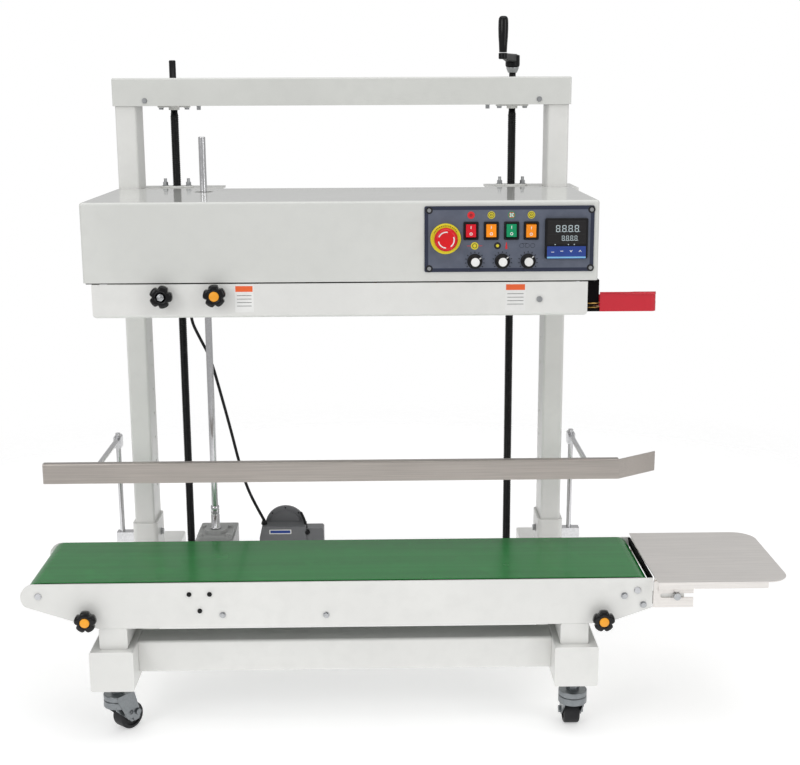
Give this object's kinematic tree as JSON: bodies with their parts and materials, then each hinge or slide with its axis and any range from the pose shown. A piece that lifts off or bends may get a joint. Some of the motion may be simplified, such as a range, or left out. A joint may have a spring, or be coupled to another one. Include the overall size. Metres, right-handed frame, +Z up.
{
  "type": "continuous band sealer",
  "caption": "Floor-standing continuous band sealer: sealing head lifted by twin lead screws over a belt conveyor, with bag guide rail, infeed tray, control panel and swivel casters.",
  "frame": {"origin": "on the floor under the middle of the whole outline", "axes": "+X to the operator's right, towards the infeed tray; +Y to the rear, away from the control panel; +Z up"},
  "size_m": [1.3535, 0.682, 1.283],
  "materials": {
    "powder_coat": "light warm grey powder coat, fine texture",
    "belt_green": "glossy green belt",
    "stainless": "brushed",
    "chrome": "polished",
    "zinc": "zinc plated",
    "black_steel": "oiled black steel",
    "cast_grey": "painted casting",
    "motor_grey": "dark grey paint",
    "cable_black": "matt",
    "black_plastic": "moulded",
    "gloss_black": "polished phenolic",
    "red_plastic": "moulded",
    "orange_plastic": "translucent",
    "green_plastic": "translucent",
    "panel_blue": "printed slate panel",
    "guard_red": "red paint",
    "brass": "machined",
    "band_brown": "coated glass cloth",
    "aluminium": "turned",
    "wheel_black": "matt"
  },
  "bodies": {
    "stand": {"base_frame": "powder_coat", "drive_shelf": "powder_coat", "columns": "powder_coat", "top_beam": "powder_coat", "screw_bearings": "cast_grey", "screw_chain": "zinc", "gear_motor": "motor_grey", "angle_gearbox": "cast_grey", "motor_cable": "cable_black", "conveyor_front_plate": "powder_coat", "conveyor_rear_plate": "powder_coat", "slider_bed": "stainless", "conveyor_belt": "belt_green", "stand_bolts": "zinc", "rail_posts": "chrome", "caster_stems": "zinc"},
    "head": {"head_cover": "powder_coat", "head_chassis": "powder_coat", "lower_cover": "powder_coat", "lift_brackets": "powder_coat", "head_bolts": "zinc", "control_panel": "panel_blue", "switch_bezels": "black_plastic", "temperature_controller": "black_plastic", "infeed_guard": "guard_red", "seal_blocks": "brass", "sealing_bands": "band_brown"},
    "guide_rail": {"guide_rail": "stainless", "rail_clamps": "chrome"},
    "tray": {"tray": "stainless"},
    "drive_shaft": {"drive_shaft": "chrome"},
    "drive_roller": {"drive_roller": "aluminium"},
    "idler_roller": {"idler_roller": "aluminium"},
    "lead_screw_left": {"lead_screw_left": "black_steel"},
    "lead_screw_right": {"lead_screw_right": "black_steel"},
    "crank_grip": {"crank_grip": "gloss_black"},
    "conveyor_knob_left": {"conveyor_knob_left": "black_plastic"},
    "conveyor_knob_right": {"conveyor_knob_right": "black_plastic"},
    "cover_knob_left": {"cover_knob_left": "black_plastic"},
    "cover_knob_right": {"cover_knob_right": "black_plastic"},
    "speed_knob_1": {"speed_knob_1": "black_plastic"},
    "speed_knob_2": {"speed_knob_2": "black_plastic"},
    "speed_knob_3": {"speed_knob_3": "black_plastic"},
    "estop_button": {"estop_button": "red_plastic"},
    "rocker_switch_1": {"rocker_switch_1": "red_plastic"},
    "rocker_switch_2": {"rocker_switch_2": "orange_plastic"},
    "rocker_switch_4": {"rocker_switch_4": "orange_plastic"},
    "rocker_switch_3": {"rocker_switch_3": "green_plastic"},
    "band_wheel_front_infeed": {"band_wheel_front_infeed": "aluminium"},
    "band_wheel_front_outfeed": {"band_wheel_front_outfeed": "aluminium"},
    "band_wheel_rear_infeed": {"band_wheel_rear_infeed": "aluminium"},
    "band_wheel_rear_outfeed": {"band_wheel_rear_outfeed": "aluminium"},
    "caster_fork_front_left": {"caster_fork_front_left": "zinc"},
    "caster_wheel_front_left": {"caster_wheel_front_left": "wheel_black"},
    "caster_fork_front_right": {"caster_fork_front_right": "zinc"},
    "caster_wheel_front_right": {"caster_wheel_front_right": "wheel_black"},
    "caster_fork_rear_left": {"caster_fork_rear_left": "zinc"},
    "caster_wheel_rear_left": {"caster_wheel_rear_left": "wheel_black"},
    "caster_fork_rear_right": {"caster_fork_rear_right": "zinc"},
    "caster_wheel_rear_right": {"caster_wheel_rear_right": "wheel_black"}
  },
  "joints": [
    {"name": "head_lift", "type": "slide", "parent": "stand", "child": "head", "axis": [0, 0, 1], "range_m": [-0.17, 0.1]},
    {"name": "lead_screw_left_turn", "type": "hinge", "parent": "stand", "child": "lead_screw_left", "pos_m": [-0.43721, 0.13, 0.7], "axis": [0, 0, 1], "range_deg": [-9001, 15301]},
    {"name": "lead_screw_right_turn", "type": "hinge", "parent": "stand", "child": "lead_screw_right", "pos_m": [0.22279, 0.13, 0.7], "axis": [0, 0, 1], "range_deg": [-9001, 15301]},
    {"name": "crank_grip_spin", "type": "hinge", "parent": "lead_screw_right", "child": "crank_grip", "pos_m": [0.19729, 0.06, 1.25], "axis": [0, 0, 1], "continuous": true},
    {"name": "drive_roller_spin", "type": "hinge", "parent": "stand", "child": "drive_roller", "pos_m": [-0.64521, -0.1965, 0.28], "axis": [0, 1, 0], "continuous": true},
    {"name": "idler_roller_spin", "type": "hinge", "parent": "stand", "child": "idler_roller", "pos_m": [0.41279, -0.1965, 0.28], "axis": [0, 1, 0], "continuous": true},
    {"name": "drive_shaft_spin", "type": "hinge", "parent": "stand", "child": "drive_shaft", "pos_m": [-0.36621, -0.02, 0.6], "axis": [0, 0, 1], "continuous": true},
    {"name": "band_wheel_front_infeed_spin", "type": "hinge", "parent": "head", "child": "band_wheel_front_infeed", "pos_m": [0.22279, -0.2148, 0.79], "axis": [0, 0, 1], "continuous": true},
    {"name": "band_wheel_front_outfeed_spin", "type": "hinge", "parent": "head", "child": "band_wheel_front_outfeed", "pos_m": [-0.43721, -0.2148, 0.79], "axis": [0, 0, 1], "continuous": true},
    {"name": "band_wheel_rear_infeed_spin", "type": "hinge", "parent": "head", "child": "band_wheel_rear_infeed", "pos_m": [0.22279, -0.1772, 0.79], "axis": [0, 0, 1], "continuous": true},
    {"name": "band_wheel_rear_outfeed_spin", "type": "hinge", "parent": "head", "child": "band_wheel_rear_outfeed", "pos_m": [-0.43721, -0.1772, 0.79], "axis": [0, 0, 1], "continuous": true},
    {"name": "cover_knob_left_turn", "type": "hinge", "parent": "head", "child": "cover_knob_left", "pos_m": [-0.41121, -0.261, 0.806], "axis": [0, -1, 0], "range_deg": [0, 720]},
    {"name": "cover_knob_right_turn", "type": "hinge", "parent": "head", "child": "cover_knob_right", "pos_m": [-0.32071, -0.261, 0.807], "axis": [0, -1, 0], "range_deg": [0, 720]},
    {"name": "conveyor_knob_left_turn", "type": "hinge", "parent": "stand", "child": "conveyor_knob_left", "pos_m": [-0.56021, -0.308, 0.24], "axis": [0, -1, 0], "range_deg": [0, 720]},
    {"name": "conveyor_knob_right_turn", "type": "hinge", "parent": "stand", "child": "conveyor_knob_right", "pos_m": [0.35079, -0.308, 0.231], "axis": [0, -1, 0], "range_deg": [0, 720]},
    {"name": "rocker_switch_1_tilt", "type": "hinge", "parent": "head", "child": "rocker_switch_1", "pos_m": [0.11579, -0.2622, 0.913], "axis": [1, 0, 0], "range_deg": [0, 14]},
    {"name": "rocker_switch_2_tilt", "type": "hinge", "parent": "head", "child": "rocker_switch_2", "pos_m": [0.15029, -0.2622, 0.913], "axis": [1, 0, 0], "range_deg": [0, 14]},
    {"name": "rocker_switch_3_tilt", "type": "hinge", "parent": "head", "child": "rocker_switch_3", "pos_m": [0.18479, -0.2622, 0.913], "axis": [1, 0, 0], "range_deg": [0, 14]},
    {"name": "rocker_switch_4_tilt", "type": "hinge", "parent": "head", "child": "rocker_switch_4", "pos_m": [0.21829, -0.2622, 0.913], "axis": [1, 0, 0], "range_deg": [-14, 0]},
    {"name": "estop_button_push", "type": "slide", "parent": "head", "child": "estop_button", "axis": [0, 1, 0], "range_m": [0, 0.005], "stiffness_N_per_m": 800},
    {"name": "speed_knob_1_turn", "type": "hinge", "parent": "head", "child": "speed_knob_1", "pos_m": [0.12279, -0.2692, 0.861], "axis": [0, -1, 0], "range_deg": [-150, 150]},
    {"name": "speed_knob_2_turn", "type": "hinge", "parent": "head", "child": "speed_knob_2", "pos_m": [0.16979, -0.2692, 0.861], "axis": [0, -1, 0], "range_deg": [-150, 150]},
    {"name": "speed_knob_3_turn", "type": "hinge", "parent": "head", "child": "speed_knob_3", "pos_m": [0.21379, -0.2692, 0.861], "axis": [0, -1, 0], "range_deg": [-150, 150]},
    {"name": "guide_rail_height", "type": "slide", "parent": "stand", "child": "guide_rail", "axis": [0, 0, 1], "range_m": [-0.12, 0]},
    {"name": "tray_slide", "type": "slide", "parent": "stand", "child": "tray", "axis": [1, 0, 0], "range_m": [0, 0.024]},
    {"name": "caster_front_left_swivel", "type": "hinge", "parent": "stand", "child": "caster_fork_front_left", "pos_m": [-0.52421, -0.262, 0.065], "axis": [0, 0, 1], "continuous": true},
    {"name": "caster_front_left_roll", "type": "hinge", "parent": "caster_fork_front_left", "child": "caster_wheel_front_left", "pos_m": [-0.51071, -0.24591, 0.025], "axis": [0.766, -0.6428, 0], "continuous": true},
    {"name": "caster_front_right_swivel", "type": "hinge", "parent": "stand", "child": "caster_fork_front_right", "pos_m": [0.30779, -0.27, 0.065], "axis": [0, 0, 1], "continuous": true},
    {"name": "caster_front_right_roll", "type": "hinge", "parent": "caster_fork_front_right", "child": "caster_wheel_front_right", "pos_m": [0.30779, -0.249, 0.025], "axis": [1, 0, 0], "continuous": true},
    {"name": "caster_rear_left_swivel", "type": "hinge", "parent": "stand", "child": "caster_fork_rear_left", "pos_m": [-0.52021, 0.287, 0.065], "axis": [0, 0, 1], "continuous": true},
    {"name": "caster_rear_left_roll", "type": "hinge", "parent": "caster_fork_rear_left", "child": "caster_wheel_rear_left", "pos_m": [-0.51303, 0.30673, 0.025], "axis": [0.9397, -0.342, 0], "continuous": true},
    {"name": "caster_rear_right_swivel", "type": "hinge", "parent": "stand", "child": "caster_fork_rear_right", "pos_m": [0.30579, 0.287, 0.065], "axis": [0, 0, 1], "continuous": true},
    {"name": "caster_rear_right_roll", "type": "hinge", "parent": "caster_fork_rear_right", "child": "caster_wheel_rear_right", "pos_m": [0.29692, 0.30603, 0.025], "axis": [0.9063, 0.4226, 0], "continuous": true}
  ],
  "couplings": [
    {"joint": "lead_screw_left_turn", "follows": "head_lift", "rad_per_m": -1570.8},
    {"joint": "lead_screw_right_turn", "follows": "head_lift", "rad_per_m": -1570.8},
    {"joint": "idler_roller_spin", "follows": "drive_roller_spin", "ratio": 1},
    {"joint": "drive_shaft_spin", "follows": "drive_roller_spin", "ratio": 1},
    {"joint": "band_wheel_front_infeed_spin", "follows": "drive_roller_spin", "ratio": -1.2949},
    {"joint": "band_wheel_front_outfeed_spin", "follows": "drive_roller_spin", "ratio": -1.2949},
    {"joint": "band_wheel_rear_infeed_spin", "follows": "drive_roller_spin", "ratio": 1.2949},
    {"joint": "band_wheel_rear_outfeed_spin", "follows": "drive_roller_spin", "ratio": 1.2949}
  ]
}
